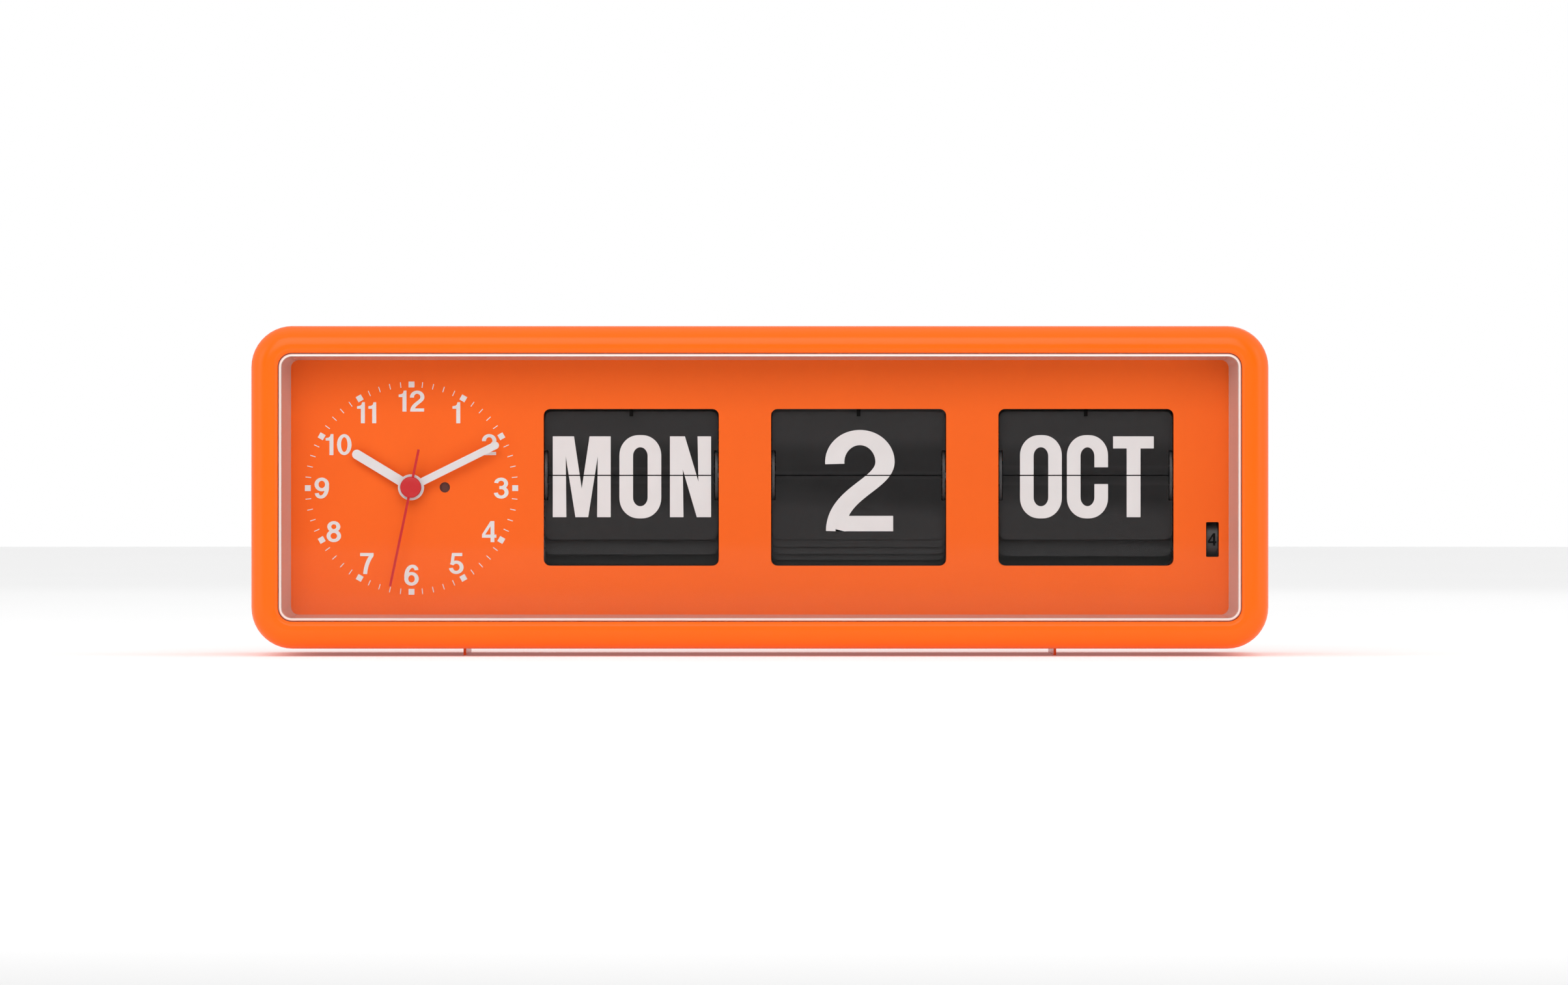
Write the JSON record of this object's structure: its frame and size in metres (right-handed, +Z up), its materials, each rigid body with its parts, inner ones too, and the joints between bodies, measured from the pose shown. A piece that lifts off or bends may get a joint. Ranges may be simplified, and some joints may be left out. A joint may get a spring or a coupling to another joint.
{
  "type": "flip calendar clock",
  "caption": "Wide rounded desk clock with a hand dial, three flip-card calendar windows and a leap-year wheel behind one clear lens.",
  "frame": {"origin": "on the surface it stands on, under the middle of the case", "axes": "+X along the width to the viewer's right, +Y from front to back, +Z up"},
  "size_m": [0.38, 0.09, 0.1232],
  "materials": {
    "case_plastic": "smooth glossy orange moulding",
    "dial": "satin orange",
    "lens": "polished clear acrylic",
    "steel": "drawn wire and sheet",
    "flap_card": "matt black card with light print",
    "brass": "cut brass",
    "hand_white": "satin white paint",
    "hand_red": "satin red paint",
    "board": "green lacquer",
    "copper": "enamelled copper winding",
    "cell": "plain printed sleeve",
    "disc": "satin dark red-brown",
    "nylon": "natural moulding",
    "grey_plastic": "satin moulding",
    "black_plastic": "satin black moulding"
  },
  "bodies": {
    "case": {"housing": "case_plastic", "rear_cover": "case_plastic", "lens": "lens", "dial_plate": "dial", "feet": "case_plastic", "case_screws": "steel", "battery_box": "black_plastic", "battery_cell": "cell", "battery_contacts": "steel", "movement_case_front": "black_plastic", "movement_case_rear": "black_plastic", "train_plate": "nylon", "circuit_board": "board", "coil": "copper", "stator": "steel", "calendar_frame": "grey_plastic", "calendar_shaft": "steel", "flap_catches": "black_plastic", "detent_springs": "steel", "button_springs": "steel"},
    "battery_door": {"battery_door": "case_plastic"},
    "seconds_train": {"second_hand": "hand_red", "second_wheel": "nylon"},
    "rotor": {"rotor": "black_plastic"},
    "intermediate_wheel": {"intermediate_wheel": "nylon"},
    "third_wheel": {"third_wheel": "nylon"},
    "centre_wheel": {"centre_wheel": "brass"},
    "minutes": {"minute_hand": "hand_white", "cannon_pinion": "brass"},
    "hours": {"hour_hand": "hand_white", "hour_wheel": "nylon"},
    "minute_wheel": {"minute_wheel": "nylon"},
    "time_set_knob": {"time_set_knob": "black_plastic"},
    "am_pm_disc": {"am_pm_disc": "disc"},
    "weekday_drum": {"weekday_drum": "black_plastic", "weekday_rear_flaps": "flap_card"},
    "weekday_falling_flap": {"weekday_falling_flap": "flap_card"},
    "weekday_next_flap": {"weekday_next_flap": "flap_card"},
    "weekday_lower_flap_1": {"weekday_lower_flap_1": "flap_card"},
    "weekday_lower_flap_2": {"weekday_lower_flap_2": "flap_card"},
    "date_drum": {"date_drum": "black_plastic", "date_rear_flaps": "flap_card"},
    "date_falling_flap": {"date_falling_flap": "flap_card"},
    "date_next_flap": {"date_next_flap": "flap_card"},
    "date_lower_flap_1": {"date_lower_flap_1": "flap_card"},
    "date_lower_flap_2": {"date_lower_flap_2": "flap_card"},
    "date_lower_flap_3": {"date_lower_flap_3": "flap_card"},
    "month_drum": {"month_drum": "black_plastic", "month_rear_flaps": "flap_card"},
    "month_falling_flap": {"month_falling_flap": "flap_card"},
    "month_next_flap": {"month_next_flap": "flap_card"},
    "month_lower_flap_1": {"month_lower_flap_1": "flap_card"},
    "month_lower_flap_2": {"month_lower_flap_2": "flap_card"},
    "leap_idler": {"leap_idler": "nylon"},
    "leap_wheel": {"leap_wheel": "black_plastic"},
    "advance_rocker": {"advance_rocker": "grey_plastic"},
    "weekday_button": {"weekday_button": "black_plastic"},
    "date_button": {"date_button": "black_plastic"},
    "month_button": {"month_button": "black_plastic"}
  },
  "joints": [
    {"name": "second_spin", "type": "hinge", "parent": "case", "child": "seconds_train", "pos_m": [-0.13085, -0.01, 0.0629], "axis": [0, 1, 0], "continuous": true},
    {"name": "rotor_spin", "type": "hinge", "parent": "case", "child": "rotor", "pos_m": [-0.11919, -0.01, 0.05663], "axis": [0, 1, 0], "continuous": true},
    {"name": "intermediate_wheel_spin", "type": "hinge", "parent": "case", "child": "intermediate_wheel", "pos_m": [-0.12483, -0.01, 0.05868], "axis": [0, 1, 0], "continuous": true},
    {"name": "third_wheel_spin", "type": "hinge", "parent": "case", "child": "third_wheel", "pos_m": [-0.13675, -0.01, 0.05877], "axis": [0, 1, 0], "continuous": true},
    {"name": "centre_wheel_spin", "type": "hinge", "parent": "case", "child": "centre_wheel", "pos_m": [-0.13085, -0.01, 0.0629], "axis": [0, 1, 0], "continuous": true},
    {"name": "minute_spin", "type": "hinge", "parent": "case", "child": "minutes", "pos_m": [-0.13085, -0.01, 0.0629], "axis": [0, 1, 0], "continuous": true},
    {"name": "hours_spin", "type": "hinge", "parent": "case", "child": "hours", "pos_m": [-0.13085, -0.01, 0.0629], "axis": [0, 1, 0], "continuous": true},
    {"name": "minute_wheel_spin", "type": "hinge", "parent": "case", "child": "minute_wheel", "pos_m": [-0.13085, -0.01, 0.0689], "axis": [0, 1, 0], "continuous": true},
    {"name": "time_set_knob_spin", "type": "hinge", "parent": "case", "child": "time_set_knob", "pos_m": [-0.13085, -0.01, 0.0749], "axis": [0, 1, 0], "continuous": true},
    {"name": "am_pm_disc_spin", "type": "hinge", "parent": "case", "child": "am_pm_disc", "pos_m": [-0.13085, -0.01, 0.0629], "axis": [0, 1, 0], "continuous": true},
    {"name": "weekday_step", "type": "hinge", "parent": "case", "child": "weekday_drum", "pos_m": [-0.0483, -0.004, 0.06738], "axis": [1, 0, 0], "range_deg": [0, 25.71], "deforming": ["flap_catches"]},
    {"name": "weekday_falling_flap_turn", "type": "hinge", "parent": "weekday_drum", "child": "weekday_falling_flap", "pos_m": [-0.0483, -0.01765, 0.0705], "axis": [1, 0, 0], "range_deg": [0, 154.3]},
    {"name": "weekday_next_flap_turn", "type": "hinge", "parent": "weekday_drum", "child": "weekday_next_flap", "pos_m": [-0.0483, -0.01495, 0.07611], "axis": [1, 0, 0], "range_deg": [-25.72, 0]},
    {"name": "weekday_lower_flap_1_turn", "type": "hinge", "parent": "weekday_drum", "child": "weekday_lower_flap_1", "pos_m": [-0.0483, -0.01765, 0.06426], "axis": [1, 0, 0], "range_deg": [-25.72, 0]},
    {"name": "weekday_lower_flap_2_turn", "type": "hinge", "parent": "weekday_drum", "child": "weekday_lower_flap_2", "pos_m": [-0.0483, -0.01495, 0.05865], "axis": [1, 0, 0], "range_deg": [-25.72, 0]},
    {"name": "date_step", "type": "hinge", "parent": "case", "child": "date_drum", "pos_m": [0.0371, -0.004, 0.06738], "axis": [1, 0, 0], "range_deg": [0, 11.61], "deforming": ["detent_springs"]},
    {"name": "date_falling_flap_turn", "type": "hinge", "parent": "date_drum", "child": "date_falling_flap", "pos_m": [0.0371, -0.01793, 0.0688], "axis": [1, 0, 0], "range_deg": [0, 168.4]},
    {"name": "date_next_flap_turn", "type": "hinge", "parent": "date_drum", "child": "date_next_flap", "pos_m": [0.0371, -0.01736, 0.07157], "axis": [1, 0, 0], "range_deg": [-11.62, 0]},
    {"name": "date_lower_flap_1_turn", "type": "hinge", "parent": "date_drum", "child": "date_lower_flap_1", "pos_m": [0.0371, -0.01793, 0.06596], "axis": [1, 0, 0], "range_deg": [-11.62, 0]},
    {"name": "date_lower_flap_2_turn", "type": "hinge", "parent": "date_drum", "child": "date_lower_flap_2", "pos_m": [0.0371, -0.01736, 0.06319], "axis": [1, 0, 0], "range_deg": [-11.62, 0]},
    {"name": "date_lower_flap_3_turn", "type": "hinge", "parent": "date_drum", "child": "date_lower_flap_3", "pos_m": [0.0371, -0.01624, 0.06059], "axis": [1, 0, 0], "range_deg": [-11.62, 0]},
    {"name": "month_step", "type": "hinge", "parent": "case", "child": "month_drum", "pos_m": [0.1225, -0.004, 0.06738], "axis": [1, 0, 0], "range_deg": [0, 30]},
    {"name": "month_falling_flap_turn", "type": "hinge", "parent": "month_drum", "child": "month_falling_flap", "pos_m": [0.1225, -0.01752, 0.071], "axis": [1, 0, 0], "range_deg": [0, 150.01]},
    {"name": "month_next_flap_turn", "type": "hinge", "parent": "month_drum", "child": "month_next_flap", "pos_m": [0.1225, -0.0139, 0.07728], "axis": [1, 0, 0], "range_deg": [-30.01, 0]},
    {"name": "month_lower_flap_1_turn", "type": "hinge", "parent": "month_drum", "child": "month_lower_flap_1", "pos_m": [0.1225, -0.01752, 0.06376], "axis": [1, 0, 0], "range_deg": [-30.01, 0]},
    {"name": "month_lower_flap_2_turn", "type": "hinge", "parent": "month_drum", "child": "month_lower_flap_2", "pos_m": [0.1225, -0.0139, 0.05748], "axis": [1, 0, 0], "range_deg": [-30.01, 0]},
    {"name": "leap_idler_turn", "type": "hinge", "parent": "case", "child": "leap_idler", "pos_m": [0.1565, -0.00553, 0.05065], "axis": [1, 0, 0], "range_deg": [-15.1, 0]},
    {"name": "leap_wheel_turn", "type": "hinge", "parent": "case", "child": "leap_wheel", "pos_m": [0.17, -0.0096, 0.0433], "axis": [1, 0, 0], "range_deg": [0, 7.6]},
    {"name": "rocker_trip", "type": "hinge", "parent": "case", "child": "advance_rocker", "pos_m": [-0.06, 0.006, 0.106], "axis": [1, 0, 0], "range_deg": [-6, 0], "stiffness_Nm_per_rad": 0.002, "springref_deg": 17.19},
    {"name": "weekday_set_press", "type": "slide", "parent": "case", "child": "weekday_button", "axis": [0, -1, 0], "range_m": [0, 0.0026], "stiffness_N_per_m": 300, "springref_m": -0.002, "deforming": ["button_springs"]},
    {"name": "date_set_press", "type": "slide", "parent": "case", "child": "date_button", "axis": [0, -1, 0], "range_m": [0, 0.0026], "stiffness_N_per_m": 300, "springref_m": -0.002},
    {"name": "month_set_press", "type": "slide", "parent": "case", "child": "month_button", "axis": [0, -1, 0], "range_m": [0, 0.0026], "stiffness_N_per_m": 300, "springref_m": -0.002},
    {"name": "battery_door_pull", "type": "slide", "parent": "case", "child": "battery_door", "axis": [0, 1, 0], "range_m": [0, 0.03]}
  ],
  "couplings": [
    {"joint": "rotor_spin", "follows": "second_spin", "ratio": 30},
    {"joint": "intermediate_wheel_spin", "follows": "second_spin", "ratio": -6},
    {"joint": "third_wheel_spin", "follows": "second_spin", "ratio": -0.13333},
    {"joint": "centre_wheel_spin", "follows": "second_spin", "ratio": 0.016667},
    {"joint": "hours_spin", "follows": "minute_spin", "ratio": 0.083333},
    {"joint": "minute_wheel_spin", "follows": "minute_spin", "ratio": -0.33333},
    {"joint": "time_set_knob_spin", "follows": "minute_spin", "ratio": 1},
    {"joint": "am_pm_disc_spin", "follows": "minute_spin", "ratio": 0.041667},
    {"joint": "weekday_falling_flap_turn", "follows": "weekday_step", "ratio": 6},
    {"joint": "weekday_next_flap_turn", "follows": "weekday_step", "ratio": -1},
    {"joint": "weekday_lower_flap_1_turn", "follows": "weekday_step", "ratio": -1},
    {"joint": "weekday_lower_flap_2_turn", "follows": "weekday_step", "ratio": -1},
    {"joint": "date_falling_flap_turn", "follows": "date_step", "ratio": 14.5},
    {"joint": "date_next_flap_turn", "follows": "date_step", "ratio": -1},
    {"joint": "date_lower_flap_1_turn", "follows": "date_step", "ratio": -1},
    {"joint": "date_lower_flap_2_turn", "follows": "date_step", "ratio": -1},
    {"joint": "date_lower_flap_3_turn", "follows": "date_step", "ratio": -1},
    {"joint": "month_falling_flap_turn", "follows": "month_step", "ratio": 5},
    {"joint": "month_next_flap_turn", "follows": "month_step", "ratio": -1},
    {"joint": "month_lower_flap_1_turn", "follows": "month_step", "ratio": -1},
    {"joint": "month_lower_flap_2_turn", "follows": "month_step", "ratio": -1},
    {"joint": "leap_idler_turn", "follows": "month_step", "ratio": -0.5},
    {"joint": "leap_wheel_turn", "follows": "month_step", "ratio": 0.25}
  ]
}
